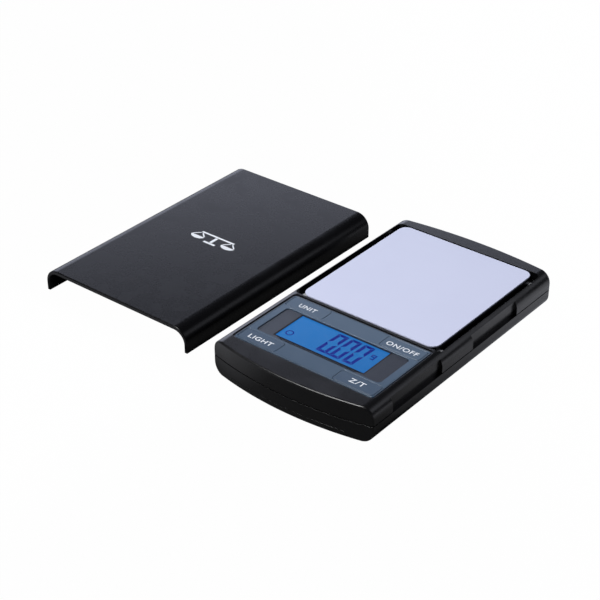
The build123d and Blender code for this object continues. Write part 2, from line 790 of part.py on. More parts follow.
# ================================================================ batteries
battery_rows = [(1, plate_mid_y - battery_spacing / 2), (-1, plate_mid_y + battery_spacing / 2)]
for number, (nub_side, mid_y) in enumerate(battery_rows, start=1):
    nub_tip_x = nub_side * (bay_length_x / 2 - contact_thickness)
    with BuildPart() as battery:
        with BuildSketch(Plane((nub_tip_x, mid_y, battery_axis_z), z_dir=(-nub_side, 0, 0))):
            Circle(nub_radius)
        extrude(amount=nub_length)
        with BuildSketch(Plane((nub_tip_x - nub_side * nub_length, mid_y, battery_axis_z),
                               z_dir=(-nub_side, 0, 0))):
            Circle(battery_diameter / 2)
        extrude(amount=battery_length - nub_length)
        end_rims = battery.edges().filter_by(GeomType.CIRCLE)
        end_rims = end_rims.filter_by(lambda rim: rim.radius > battery_diameter / 2 - thread_fit)
        fillet(end_rims, radius=battery_rim)
    save(battery.part, "battery_" + str(number))

with BuildPart() as battery_springs:
    for nub_side, mid_y in battery_rows:
        base_x = -nub_side * (bay_length_x / 2 - contact_thickness - spring_wire)
        coil_height = spring_length - 2 * spring_wire
        with BuildLine() as coil:
            Helix(pitch=coil_height / spring_turns, height=coil_height, radius=spring_base_radius,
                  center=(base_x, mid_y, battery_axis_z), direction=(nub_side, 0, 0),
                  cone_angle=spring_taper)
        with BuildSketch(Plane(origin=coil.wires()[0] @ 0, z_dir=coil.wires()[0] % 0)):
            Circle(spring_wire)
        sweep(path=coil.wires()[0], is_frenet=True)
save(battery_springs.part, "battery_springs")

contact_low = battery_axis_z - contact_height / 2
with BuildPart() as contact_plates:
    left_x = -bay_length_x / 2
    right_x = bay_length_x / 2
    add(slab(left_x, left_x + contact_thickness, plate_mid_y - battery_spacing / 2 - contact_width / 2,
             plate_mid_y + battery_spacing / 2 + contact_width / 2, contact_low,
             contact_low + contact_height))
    for nub_side, mid_y in battery_rows:
        add(slab(right_x - contact_thickness, right_x, mid_y - contact_width / 2,
                 mid_y + contact_width / 2, contact_low, contact_low + contact_height))
        add(slab(right_x - contact_thickness, right_x, mid_y - contact_tab_width / 2,
                 mid_y + contact_tab_width / 2, contact_low + contact_height, board_low))
save(contact_plates.part, "contact_plates")

with BuildPart() as battery_door:
    add(case_block.part)
    add(
        slab(-door_width / 2, door_width / 2, -beyond, door_far_y, case_low, door_top),
        mode=Mode.INTERSECT,
    )
    with BuildSketch(Plane.XY.offset(case_low + tongue_low)):
        with Locations((0, (near_end_y + near_bow + door_far_y) / 2)):
            Rectangle(door_width + 2 * tongue_width - 2 * tongue_fit, door_far_y - near_end_y - near_bow)
    extrude(amount=tongue_thickness)
    with BuildSketch(Plane.XY.offset(case_low)):
        with Locations((0, near_end_y + door_lip_depth + grip_offset)):
            with GridLocations(grip_pitch, grip_pitch, 1, grip_ribs):
                SlotOverall(grip_width, grip_pitch / 2)
    extrude(amount=grip_depth, mode=Mode.SUBTRACT)
    with BuildPart(mode=Mode.PRIVATE) as lip:
        add(case_block.part)
        add(
            slab(-door_width / 2, door_width / 2, -beyond, near_end_y + door_lip_depth,
                 case_low, case_low + door_lip_height),
            mode=Mode.INTERSECT,
        )
    add(lip.part)
save(battery_door.part, "battery_door")

with BuildPart() as case_screws:
    with Locations((0, 0, case_low + screw_head_height + screw_sink)):
        with GridLocations(2 * screw_x, 2 * screw_y, 2, 2):
            add(screw(screw_head_radius, screw_head_height, screw_radius, screw_length - screw_head_height))
save(case_screws.part, "case_screws")

# ================================================================ cover
with BuildPart() as cover:
    with BuildSketch(Plane.XZ.offset(-(cover_y + cover_length / 2))) as cover_section:
        with Locations((cover_x, cover_height / 2)):
            Rectangle(cover_width, cover_height)
        fillet(cover_section.vertices().group_by(Axis.Y)[-1], radius=cover_outer_radius)
        with BuildSketch(mode=Mode.PRIVATE) as hollow:
            with Locations((cover_x, (cover_height - cover_roof) / 2)):
                Rectangle(cover_inner_width, cover_height - cover_roof)
            fillet(hollow.vertices().group_by(Axis.Y)[-1], radius=cover_inner_radius)
        add(hollow.sketch, mode=Mode.SUBTRACT)
    extrude(amount=cover_length)
    # catches inside the long walls, in line with the case's side windows
    for side in (-1, 1):
        wall_x = cover_x + side * cover_inner_width / 2
        tip_x = wall_x - side * catch_reach
        for window_y in (window_near_y, window_far_y):
            catch_y = cover_y + window_y + window_length / 2
            add(slab(min(wall_x, tip_x), max(wall_x, tip_x), catch_y - catch_length / 2,
                     catch_y + catch_length / 2, catch_low, catch_low + catch_height))
    end_faces = cover.faces().sort_by(Axis.Y)
    fillet(end_faces[0].edges() + end_faces[-1].edges(), radius=cover_edge)
save(cover.part, "cover")
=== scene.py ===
# %% [markdown]
# # A digital gram scale and its loose cover
# This lesson dresses a finished CAD model in Blender: a pocket scale with a lit display, four
# flat keys and a pale weighing platform, with its slip-on cover lying beside it.
# The CAD part already holds every solid, so nothing here is moved or resized.
# What is added is what print, moulding and lighting add: ink, segments, finishes and lamps.

# %% Load the frame that everything is built around
import math

import bpy
from mathutils import Matrix, Vector


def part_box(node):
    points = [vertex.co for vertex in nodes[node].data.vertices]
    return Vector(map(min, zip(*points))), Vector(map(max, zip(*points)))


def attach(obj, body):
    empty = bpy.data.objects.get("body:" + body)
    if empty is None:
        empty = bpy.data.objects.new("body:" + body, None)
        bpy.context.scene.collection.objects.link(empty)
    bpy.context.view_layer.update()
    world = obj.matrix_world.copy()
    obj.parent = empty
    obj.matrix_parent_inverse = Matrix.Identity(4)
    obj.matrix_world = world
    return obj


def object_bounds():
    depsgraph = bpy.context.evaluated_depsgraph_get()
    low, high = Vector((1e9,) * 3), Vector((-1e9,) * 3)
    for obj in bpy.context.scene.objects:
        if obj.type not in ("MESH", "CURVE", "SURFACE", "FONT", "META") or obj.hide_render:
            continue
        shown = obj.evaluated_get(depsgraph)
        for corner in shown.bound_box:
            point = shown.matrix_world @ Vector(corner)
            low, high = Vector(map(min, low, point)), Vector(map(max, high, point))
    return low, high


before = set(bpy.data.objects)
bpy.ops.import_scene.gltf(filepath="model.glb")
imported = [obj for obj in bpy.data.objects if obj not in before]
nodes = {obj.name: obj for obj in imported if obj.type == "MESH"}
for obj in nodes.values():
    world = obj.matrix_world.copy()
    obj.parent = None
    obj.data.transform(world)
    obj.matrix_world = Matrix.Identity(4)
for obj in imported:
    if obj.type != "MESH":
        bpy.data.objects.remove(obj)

cad_low, cad_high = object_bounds()
MM = 0.001
print("CAD box in mm:", [round(v / MM, 2) for v in (*cad_low, *cad_high)])

# %% [markdown]
# ## Reading places from the frame
# A printed word has to sit on its key, and a display digit on its glass, so each place is read
# from a CAD node's box. A typed number would drift as soon as the part changed.
# One small helper gives the middle, the size and the top of a node, all in metres.


# %% A node's middle, size and top
def place_of(node):
    """The middle and the size of a CAD node's box, and the height of its top."""
    low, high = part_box(node)
    return (low + high) / 2, high - low, high.z


plate_middle, plate_size, plate_top = place_of("front_plate")
cover_middle, _, cover_top = place_of("cover")
glass_top = place_of("lcd_glass")[2]
GUIDE_MARGIN = 0.2      # mm of light guide beyond the lit window, on every side
light_middle, light_size, _ = place_of("lcd_backlight")
view_width = light_size.x / MM - 2 * GUIDE_MARGIN
view_length = light_size.y / MM - 2 * GUIDE_MARGIN
print("front plate top in mm:", round(plate_top / MM, 2))
print("lit window in mm:", round(view_width, 2), "by", round(view_length, 2))

# %% [markdown]
# ## Shader maths written as Python
# A mask such as "darker within half a millimetre of this edge" is a chain of Math nodes.
# It could be wired node by node, but then the formula is lost in the wiring.
# A small class wraps a socket and overloads + - * /, so that the formula is what the reader sees.


# %% A socket that can be used in a formula
class Value:
    """A number that varies over a surface: an output socket with arithmetic."""

    def __init__(self, finish, socket):
        self.finish = finish
        self.socket = socket

    def math(self, operation, *others):
        return self.finish.node("ShaderNodeMath", {"operation": operation}, self, *others)

    def __add__(self, other):
        return self.math("ADD", other)

    __radd__ = __add__

    def __mul__(self, other):
        return self.math("MULTIPLY", other)

    __rmul__ = __mul__

    def __sub__(self, other):
        return self.math("SUBTRACT", other)

    def __rsub__(self, other):
        return self.finish.node("ShaderNodeMath", {"operation": "SUBTRACT"}, other, self)

    def __truediv__(self, other):
        return self.math("DIVIDE", other)

    def __abs__(self):
        return self.math("ABSOLUTE")

    def clamp(self, low=0.0, high=1.0):
        return self.math("MAXIMUM", low).math("MINIMUM", high)

    def step(self, edge, softness):
        """0 below edge, 1 above it, with a soft change of that width."""
        settings = {"interpolation_type": "SMOOTHSTEP"}
        return self.finish.node("ShaderNodeMapRange", settings, self, edge - softness / 2,
                                edge + softness / 2, 0.0, 1.0)


# %% [markdown]
# ## One class for a finish
# Every material here is a Principled shader with a few things that vary: colour, roughness, bump.
# The class makes the shader, sets the constants on the shader's own sockets, and has one method
# that adds any other node: its type, its settings, then the values or links of its inputs.


# %% A finish and its nodes
class Finish:
    """A procedural material built round one Principled shader."""

    def __init__(self, name, **constants):
        self.material = bpy.data.materials.new(name)
        self.material.use_nodes = True
        self.tree = self.material.node_tree
        self.shader = self.tree.nodes["Principled BSDF"]
        for socket_name, value in constants.items():
            self.shader.inputs[socket_name.replace("_", " ")].default_value = value

    def node(self, kind, settings, *inputs, output=0):
        made = self.tree.nodes.new(kind)
        for setting, value in settings.items():
            setattr(made, setting, value)
        for socket, value in zip(made.inputs, inputs):
            self.feed(socket, value)
        return Value(self, made.outputs[output])

    def feed(self, socket, value):
        if isinstance(value, Value):
            self.tree.links.new(value.socket, socket)
        elif value is not None:
            socket.default_value = value

    def vary(self, **links):
        for socket_name, value in links.items():
            self.feed(self.shader.inputs[socket_name.replace("_", " ")], value)

    def place(self):
        """Object coordinates: metres in the scale's own frame."""
        return self.node("ShaderNodeTexCoord", {}, output="Object")

    def axis(self, index):
        """One coordinate of the surface point, in millimetres."""
        return self.node("ShaderNodeSeparateXYZ", {}, self.place(), output=index) / MM

    def noise(self, size, detail=2.0, roughness=0.5):
        """Smooth noise from 0 to 1, whose blotches are about size metres across."""
        made = self.tree.nodes.new("ShaderNodeTexNoise")
        self.feed(made.inputs["Vector"], self.place())
        made.inputs["Scale"].default_value = 1 / size
        made.inputs["Detail"].default_value = detail
        made.inputs["Roughness"].default_value = roughness
        return Value(self, made.outputs[0])

    def blend(self, share, first, second):
        """A colour between two, by share."""
        made = self.tree.nodes.new("ShaderNodeMix")
        made.data_type = "RGBA"
        self.feed(made.inputs[0], share)
        self.feed(made.inputs[6], first)
        self.feed(made.inputs[7], second)
        return Value(self, made.outputs[2])

    def bump(self, height, depth, normal=None):
        """A Bump node whose height of 1 stands depth metres proud."""
        made = self.tree.nodes.new("ShaderNodeBump")
        made.inputs["Strength"].default_value = 1.0
        self.feed(made.inputs["Distance"], depth)
        self.feed(made.inputs["Height"], height)
        self.feed(made.inputs["Normal"], normal)
        return Value(self, made.outputs[0])

    def mix_shaders(self, share, first, second):
        """The surface becomes a mix of two shader nodes, by share."""
        mix = self.tree.nodes.new("ShaderNodeMixShader")
        self.feed(mix.inputs[0], share)
        self.tree.links.new(first.outputs[0], mix.inputs[1])
        self.tree.links.new(second.outputs[0], mix.inputs[2])
        self.tree.links.new(mix.outputs[0], self.tree.nodes["Material Output"].inputs[0])


def srgb(red, green, blue):
    """A display colour of 0 to 255 as the linear colour that a shader wants."""
    def linear(channel):
        share = channel / 255
        return share / 12.92 if share <= 0.04045 else ((share + 0.055) / 1.055) ** 2.4
    return (linear(red), linear(green), linear(blue), 1.0)


print("finish class ready")

# %% [markdown]
# ## Satin black plastic
# The case, the door and the cover are injection-moulded ABS. A flat black looks like a hole, so
# the colour drifts a little, the gloss changes where fingers have been, and a very fine
# moulded grain breaks up reflections. Edges go slightly paler and smoother: partly wear from
# rubbing in a pocket, partly a painted edge highlight. A Bevel node rounds the normal at each
# edge, and where that differs from the true normal is an edge.


# %% Satin black plastic
DRIFT_SIZE = 30 * MM
SMUDGE_SIZE = 11 * MM
EDGE_PATCH_SIZE = 4 * MM
EDGE_ROUND = 0.12 * MM
EDGE_GAIN = 6.0         # how fast an edge mask grows as the rounded normal turns away
EDGE_WEAR_AND_HIGHLIGHT = 0.25
WORN_AND_HIGHLIT_BLACK = srgb(58, 60, 64)
DEEP_SHARE = 0.8        # the darkest black, as a share of the shade


def satin_black(name, shade, mirror, gloss, grain, grain_depth):
    """Moulded black: mirror is its index of refraction, gloss its roughness before smudges."""
    finish = Finish(name, IOR=mirror)
    drift = finish.noise(DRIFT_SIZE, 3.0)
    smudge = finish.noise(SMUDGE_SIZE, 4.0, 0.6).step(0.56, 0.2)
    speckle = finish.noise(grain, 2.0, 0.6)
    rounded = finish.node("ShaderNodeBevel", {"samples": 4}, EDGE_ROUND)
    facing = finish.node("ShaderNodeNewGeometry", {}, output="Normal")
    agreement = finish.node("ShaderNodeVectorMath", {"operation": "DOT_PRODUCT"}, rounded, facing,
                            output="Value")
    # Edges are painted paler: partly rubbed wear, partly a painted edge highlight.
    edge = ((1 - agreement) * EDGE_GAIN).clamp() * (0.5 + 0.5 * finish.noise(EDGE_PATCH_SIZE, 3.0))
    deep = [channel * DEEP_SHARE for channel in shade[:3]] + [1.0]
    body = finish.blend(drift, deep, shade)
    finish.vary(Base_Color=finish.blend(edge * EDGE_WEAR_AND_HIGHLIGHT, body, WORN_AND_HIGHLIT_BLACK),
                Roughness=gloss + 0.06 * smudge + 0.05 * (speckle - 0.5) - 0.05 * edge,
                Normal=finish.bump(speckle, grain_depth, rounded))
    return finish.material


case_black = satin_black("case_black", srgb(10, 10, 12), mirror=1.52, gloss=0.28,
                         grain=0.35 * MM, grain_depth=0.0025 * MM)
cover_black = satin_black("cover_black", srgb(8, 8, 10), mirror=1.35, gloss=0.27,
                          grain=0.3 * MM, grain_depth=0.0012 * MM)
print("black finishes:", case_black.name, cover_black.name)

# %% [markdown]
# ## The platform
# The weighing platform is a thin steel sheet with a pale lavender-grey coat and a soft satin face.
# Its face is nearly featureless, so its realism is in small things: the coat's fine orange peel,
# hair-fine scuffs from things slid across it, and a slightly smoother rolled edge.


# %% The platform's finish
PLATFORM_DEEP = srgb(212, 217, 243)
PLATFORM_PALE = srgb(218, 223, 248)
SCUFF_PALE = srgb(232, 236, 246)
SCUFF_TURN = (0.0, 0.0, 0.6)            # radians from the platform's sides
SCUFF_STRETCH = (1.0, 14.0, 1.0)
SCUFF_SCALE = 320.0
SCUFF_SHARE = 0.12
ROLLED_EDGE = 0.25                      # mm of the sheet's side, below its top


def platform_pale():
    finish = Finish("platform_pale", IOR=1.47)
    drift = finish.noise(25 * MM, 2.0)
    grain = finish.noise(0.28 * MM, 2.0, 0.6)
    lie = finish.node("ShaderNodeMapping", {}, finish.place(), None, SCUFF_TURN, SCUFF_STRETCH)
    scuff = finish.node("ShaderNodeTexNoise", {}, lie, None, SCUFF_SCALE, 3.0, 0.6).step(0.70, 0.06)
    top = finish.axis(2).step(place_of("platform")[2] / MM - ROLLED_EDGE, 0.2)
    body = finish.blend(drift, PLATFORM_DEEP, PLATFORM_PALE)
    finish.vary(Base_Color=finish.blend(scuff * SCUFF_SHARE, body, SCUFF_PALE),
                Roughness=0.46 + 0.06 * (grain - 0.5) + 0.05 * drift - 0.10 * (1 - top),
                Normal=finish.bump(grain - 0.4 * scuff, 0.0035 * MM))
    return finish.material


platform_finish = platform_pale()

# %% [markdown]
# ## The front plate, the keys and the lens
# The front plate and the four flat keys are one blue-grey plastic with a hard gloss coat, a
# little deeper in colour towards the near edge.
# The lens is clear acrylic. It could be a solid glass shader, but the display under it would then
# only be lit by rays that bend through it, which is slow and noisy. A thin pane is a mix of
# plain see-through and a gloss that grows towards grazing angles, so that is what is made.
# Only the outer side mirrors: seen from inside, the same formula would turn the pane opaque.


# %% Blue-grey plate, keys and the clear lens
PANE_MIRROR = 0.28      # how strongly the pane mirrors, before its angle is counted
PANE_TINT = (0.93, 0.94, 0.95, 1.0)


def coated_plate(name, deep, pale):
    finish = Finish(name, IOR=1.5, Coat_IOR=1.5, Coat_Roughness=0.12, Coat_Weight=0.25)
    drift = finish.noise(20 * MM, 2.0)
    fleck = finish.noise(0.2 * MM, 2.0)
    smear = finish.noise(7 * MM, 4.0, 0.6).step(0.55, 0.25)
    along = ((finish.axis(1) - plate_middle.y / MM) / (plate_size.y / MM) + 0.5).clamp()
    finish.vary(Base_Color=finish.blend(0.6 * along + 0.25 * drift + 0.15 * fleck, deep, pale),
                Roughness=0.30 + 0.08 * smear + 0.04 * (fleck - 0.5),
                Normal=finish.bump(fleck, 0.0015 * MM))
    return finish.material


def clear_pane(name):
    finish = Finish(name, IOR=1.49, Base_Color=srgb(60, 62, 66))
    smear = finish.noise(8 * MM, 4.0, 0.6).step(0.55, 0.3)
    finish.vary(Roughness=0.09 + 0.08 * smear)
    mirror = finish.node("ShaderNodeLayerWeight", {}, PANE_MIRROR, output="Fresnel")
    inside = finish.node("ShaderNodeNewGeometry", {}, output="Backfacing")
    clear = finish.tree.nodes.new("ShaderNodeBsdfTransparent")
    clear.inputs[0].default_value = PANE_TINT
    finish.mix_shaders((mirror * (1 - inside)).clamp(), clear, finish.shader)
    return finish.material


plate_finish = coated_plate("plate_blue_grey", srgb(62, 82, 104), srgb(84, 104, 126))
key_finish = coated_plate("key_blue_grey", srgb(60, 78, 100), srgb(82, 102, 124))
lens_finish = clear_pane("lens_clear")

# %% [markdown]
# ## The lit display
# Behind the lens a dark grey frame holds the display glass, and a light guide behind the glass
# glows blue. The glow is emission on the glass itself: brighter towards the far left, and
# dimming near its edges, as a guide lit from one side does.
# The frame has a thin dark line printed round its window, made from the distance to that window.
# Its grey is painted shading: paler at the left and darker at the right.


# %% Display glass and frame
LCD_DEEP = srgb(36, 112, 184)
LCD_BRIGHT = srgb(42, 124, 200)
LCD_EDGE = srgb(20, 84, 150)
UNLIT = srgb(0, 0, 0)
GLOW_MIDDLE = 0.5
GLOW_ACROSS = -0.55     # change from the left side to the right
GLOW_ALONG = 0.35       # change from the near side to the far
EDGE_SHARE = 0.35
FRAME_LIT_LEFT = srgb(88, 92, 104)
FRAME_SHADED_RIGHT = srgb(62, 65, 76)
FRAME_LINE = srgb(44, 36, 34)
FRAME_LINE_REACH = 0.55     # mm from the window


def window_distance(finish):
    """Millimetres outside the lit window's edge; negative inside it."""
    x = abs(finish.axis(0) - light_middle.x / MM) - view_width / 2
    y = abs(finish.axis(1) - light_middle.y / MM) - view_length / 2
    return x.math("MAXIMUM", y)


def lit_glass():
    finish = Finish("lcd_lit", IOR=1.5, Roughness=0.25, Base_Color=srgb(6, 20, 40), Emission_Strength=1.0)
    across = (finish.axis(0) - light_middle.x / MM) / view_width
    along = (finish.axis(1) - light_middle.y / MM) / view_length
    glow = (GLOW_MIDDLE + GLOW_ACROSS * across + GLOW_ALONG * along).clamp()
    cloud = finish.noise(4 * MM, 2.0)
    rim = window_distance(finish).step(-0.5, 1.0)
    masked = window_distance(finish).step(0.02, 0.04)
    lit = finish.blend(glow + 0.2 * (cloud - 0.5), LCD_DEEP, LCD_BRIGHT)
    seen = finish.blend(rim * EDGE_SHARE, lit, LCD_EDGE)
    finish.vary(Emission_Color=finish.blend(masked, seen, UNLIT))
    return finish.material


def frame_grey():
    finish = Finish("lcd_frame_grey", IOR=1.45)
    grain = finish.noise(0.4 * MM, 2.0)
    drift = finish.noise(12 * MM, 2.0)
    line = 1 - window_distance(finish).step(FRAME_LINE_REACH, 0.25)
    across = ((finish.axis(0) - light_middle.x / MM) / view_width / 1.5 + 0.5).clamp()
    # Painted shading: the frame is paler at its left and darker at its right, with a little random drift.
    body = finish.blend(0.8 * across + 0.2 * drift, FRAME_LIT_LEFT, FRAME_SHADED_RIGHT)
    finish.vary(Base_Color=finish.blend(line, body, FRAME_LINE), Roughness=0.55 + 0.1 * grain,
                Normal=finish.bump(grain, 0.004 * MM))
    return finish.material


glass_finish = lit_glass()
frame_finish = frame_grey()

# %% [markdown]
# ## Simple finishes for what is seen through gaps, or when the scale is open
# The remaining parts share one recipe: two close colours, a noise of the right size for the
# material, and a little bump. Metal parts add a metallic value. It is the same few lines for
# each, so it is one function with names for what differs.


# %% Plain parts
TRACK_GRID = (420.0, 0.12, 0.3, 0.0, 0.9, 0.35)     # scale, gap, softness, bias, width, height
CELL_BAND = 15.0        # mm from the cell's middle to its warm band
CELL_END = 21.3         # mm from the cell's middle to its bare end
JACKET_DARK = srgb(30, 32, 36)
JACKET_WARM = srgb(176, 112, 44)
CELL_STEEL = srgb(200, 200, 196)
BOARD_GREEN = srgb(16, 70, 40)
TRACK_GREEN = srgb(38, 104, 62)
BRUSH_SCALE = 900.0
BROAD = 18              # size of the broad noise, in grains


def plain(name, deep, pale, roughness, grain, depth, **constants):
    """Two close colours with noise: grain is its size and depth its height, in millimetres."""
    finish = Finish(name, **constants)
    fine = finish.noise(grain * MM, 3.0)
    broad = finish.noise(grain * BROAD * MM, 2.0)
    finish.vary(Base_Color=finish.blend(0.5 * fine + 0.5 * broad, deep, pale),
                Roughness=roughness + 0.12 * (fine - 0.5), Normal=finish.bump(fine, depth * MM))
    return finish.material


def brushed(name, deep, pale, roughness, stretch):
    """Metal with the fine parallel lines of a rolled or machined face."""
    finish = Finish(name, Metallic=1.0)
    lines = finish.node("ShaderNodeTexNoise", {},
                        finish.node("ShaderNodeMapping", {}, finish.place(), None, None, stretch),
                        None, BRUSH_SCALE, 3.0, 0.6)
    stain = finish.noise(4 * MM, 3.0)
    finish.vary(Base_Color=finish.blend(0.6 * lines + 0.4 * stain, deep, pale),
                Roughness=roughness + 0.15 * (lines - 0.5), Normal=finish.bump(lines, 0.002 * MM))
    return finish.material


def green_board():
    """Solder mask over copper tracks: a grid of lines, broken up by noise, stands a little proud."""
    finish = Finish("board_green", IOR=1.5)
    track = finish.node("ShaderNodeTexBrick", {"offset": 0.5}, finish.place(), None, None, None,
                        *TRACK_GRID, output=1)
    copper = (1 - track) * finish.noise(3 * MM, 2.0).step(0.5, 0.1)
    finish.vary(Base_Color=finish.blend(copper, BOARD_GREEN, TRACK_GREEN),
                Roughness=0.35 + 0.1 * finish.noise(1 * MM), Normal=finish.bump(copper, 0.02 * MM))
    return finish.material


def cell_jacket():
    """A battery's printed jacket: dark in the middle, then a warm band, and steel at both ends."""
    finish = Finish("battery_jacket", IOR=1.5)
    reach = abs(finish.axis(0) - place_of("battery_1")[0].x / MM)
    end = reach.step(CELL_END, 0.3)
    band = reach.step(CELL_BAND, 0.3)
    printed = finish.blend(band, JACKET_DARK, JACKET_WARM)
    finish.vary(Base_Color=finish.blend(end, printed, CELL_STEEL), Metallic=end * 0.95,
                Roughness=0.3 + 0.1 * finish.noise(2 * MM, 3.0),
                Normal=finish.bump(finish.noise(0.6 * MM), 0.004 * MM))
    return finish.material


rubber = plain("foot_rubber", srgb(24, 24, 25), srgb(40, 40, 42), 0.75, 0.6, 0.02, IOR=1.45)
screw_steel = brushed("screw_steel", srgb(120, 122, 126), srgb(190, 192, 196), 0.32, (1.0, 1.0, 6.0))
beam_alloy = brushed("beam_alloy", srgb(170, 172, 176), srgb(214, 216, 220), 0.36, (1.0, 0.08, 1.0))
contact_metal = brushed("contact_metal", srgb(176, 174, 166), srgb(220, 218, 210), 0.28, (1.0, 1.0, 0.2))
stop_plastic = plain("stop_plastic", srgb(150, 152, 156), srgb(190, 192, 196), 0.4, 0.8, 0.01)
carrier_plastic = plain("carrier_plastic", srgb(26, 27, 29), srgb(38, 39, 42), 0.5, 0.6, 0.01)
pad_foam = plain("pad_foam", srgb(196, 198, 190), srgb(226, 228, 222), 0.8, 0.5, 0.03)
chip_resin = plain("chip_resin", srgb(14, 14, 15), srgb(26, 26, 28), 0.25, 1, 0.02)
part_ceramic = plain("part_ceramic", srgb(96, 76, 56), srgb(150, 124, 96), 0.4, 0.4, 0.01)
switch_steel = brushed("switch_steel", srgb(150, 150, 150), srgb(206, 206, 204), 0.35, (1.0, 1.0, 1.0))
button_black = plain("button_black", srgb(20, 20, 22), srgb(34, 34, 36), 0.45, 0.4, 0.01)
gauge_film = plain("gauge_film", srgb(176, 120, 52), srgb(206, 152, 80), 0.35, 0.5, 0.01)
wire_sleeve = plain("wire_sleeve", srgb(150, 34, 30), srgb(186, 56, 48), 0.5, 0.5, 0.01)
guide_white = plain("guide_white", srgb(214, 222, 232), srgb(236, 240, 246), 0.4, 0.6, 0.004)
led_resin = plain("led_resin", srgb(230, 220, 150), srgb(250, 244, 190), 0.3, 0.6, 0.01)
zebra_rubber = plain("zebra_rubber", srgb(40, 40, 44), srgb(150, 150, 156), 0.7, 0.2, 0.01)

# %% Give every CAD node its finish
node_finish = {
    "top_shell": case_black, "bottom_shell": case_black, "battery_door": case_black,
    "cover": cover_black,
    "front_plate": plate_finish, "display_lens": lens_finish, "lcd_frame": frame_finish,
    "lcd_glass": glass_finish, "lcd_backlight": guide_white, "backlight_led": led_resin,
    "zebra_strip": zebra_rubber, "main_board": green_board(), "board_screws": screw_steel,
    "controller_chip": chip_resin, "board_parts": part_ceramic, "switch_bodies": switch_steel,
    "platform": platform_finish, "adhesive_pads": pad_foam, "platform_carrier": carrier_plastic,
    "load_cell": beam_alloy, "strain_gauges": gauge_film, "cell_wires": wire_sleeve,
    "cell_screws": screw_steel, "carrier_screws": screw_steel, "overload_stops": stop_plastic,
    "battery_1": cell_jacket(), "battery_2": cell_jacket(), "battery_springs": contact_metal,
    "contact_plates": contact_metal, "case_screws": screw_steel, "feet": rubber,
}
for key_name in ("unit", "power", "light", "zero"):
    node_finish["key_" + key_name] = key_finish
    node_finish["switch_button_" + key_name] = button_black

for name, material in node_finish.items():
    nodes[name].data.materials.clear()
    nodes[name].data.materials.append(material)
print("finished", len(node_finish), "of", len(nodes), "nodes")
print("left over:", sorted(set(nodes) - set(node_finish)))

# %% [markdown]
# ## Ink
# The key words, the plate's border and the mark on the cover are pad-printed: a film of ink two
# hundredths of a millimetre thick. A decal texture would do, but real geometry keeps crisp
# edges at any distance.


# %% Ink and segment finishes
INK_THICKNESS = 0.02 * MM
SEGMENT_GLOW_NEAR = srgb(3, 34, 142)
SEGMENT_GLOW_FAR = srgb(5, 20, 124)


def ink(name, colour, worn):
    finish = Finish(name, IOR=1.45)
    patch = finish.noise(0.7 * MM, 3.0)
    finish.vary(Base_Color=finish.blend(patch.step(0.62, 0.2) * 0.4, colour, worn),
                Roughness=0.42 + 0.15 * patch, Normal=finish.bump(patch, 0.002 * MM))
    return finish.material


def segment_blue():
    finish = Finish("segment_blue", IOR=1.5, Roughness=0.3, Base_Color=srgb(4, 8, 40),
                    Emission_Strength=1.0)
    patch = finish.noise(3 * MM, 2.0)
    far = ((finish.axis(1) - light_middle.y / MM) / view_length + 0.5).clamp()
    # Painted light: the segments glow by emission, standing in for the backlight seen through them, a
    # little dimmer towards the far end.
    finish.vary(Emission_Color=finish.blend(0.7 * far + 0.3 * patch, SEGMENT_GLOW_NEAR, SEGMENT_GLOW_FAR))
    return finish.material


white_ink = ink("white_ink", srgb(240, 244, 250), srgb(214, 220, 230))
line_ink = ink("line_ink", srgb(58, 76, 94), srgb(66, 84, 102))
segment_finish = segment_blue()


# %% Turn a curve into a plain mesh at rest in the frame
def settle(source, name, place, body, finish):
    """Turn an object's curve or modifiers into a mesh whose place is in its vertices."""
    bpy.context.view_layer.update()
    evaluated = source.evaluated_get(bpy.context.evaluated_depsgraph_get())
    mesh = bpy.data.meshes.new_from_object(evaluated)
    mesh.name = name
    mesh.transform(place)
    mesh.materials.clear()
    mesh.materials.append(finish)
    piece = bpy.data.objects.new(name, mesh)
    bpy.context.scene.collection.objects.link(piece)
    bpy.data.objects.remove(source)
    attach(piece, body)
    print(name, "has", len(mesh.polygons), "faces and rides on", body)
    return piece


def spread(mesh_points):
    """The least and greatest x and y of some points."""
    xs = [p.x for p in mesh_points]
    ys = [p.y for p in mesh_points]
    return min(xs), max(xs), min(ys), max(ys)


# %% [markdown]
# ## Trees of nodes that make shapes
# The display's digits repeat one segment, and a printed border follows a path: both are rules,
# so both are Geometry Nodes. A small class builds a tree the way the finishes were built.
# Each tree has named inputs for its sizes, and ends in Realize Instances and Set Material.


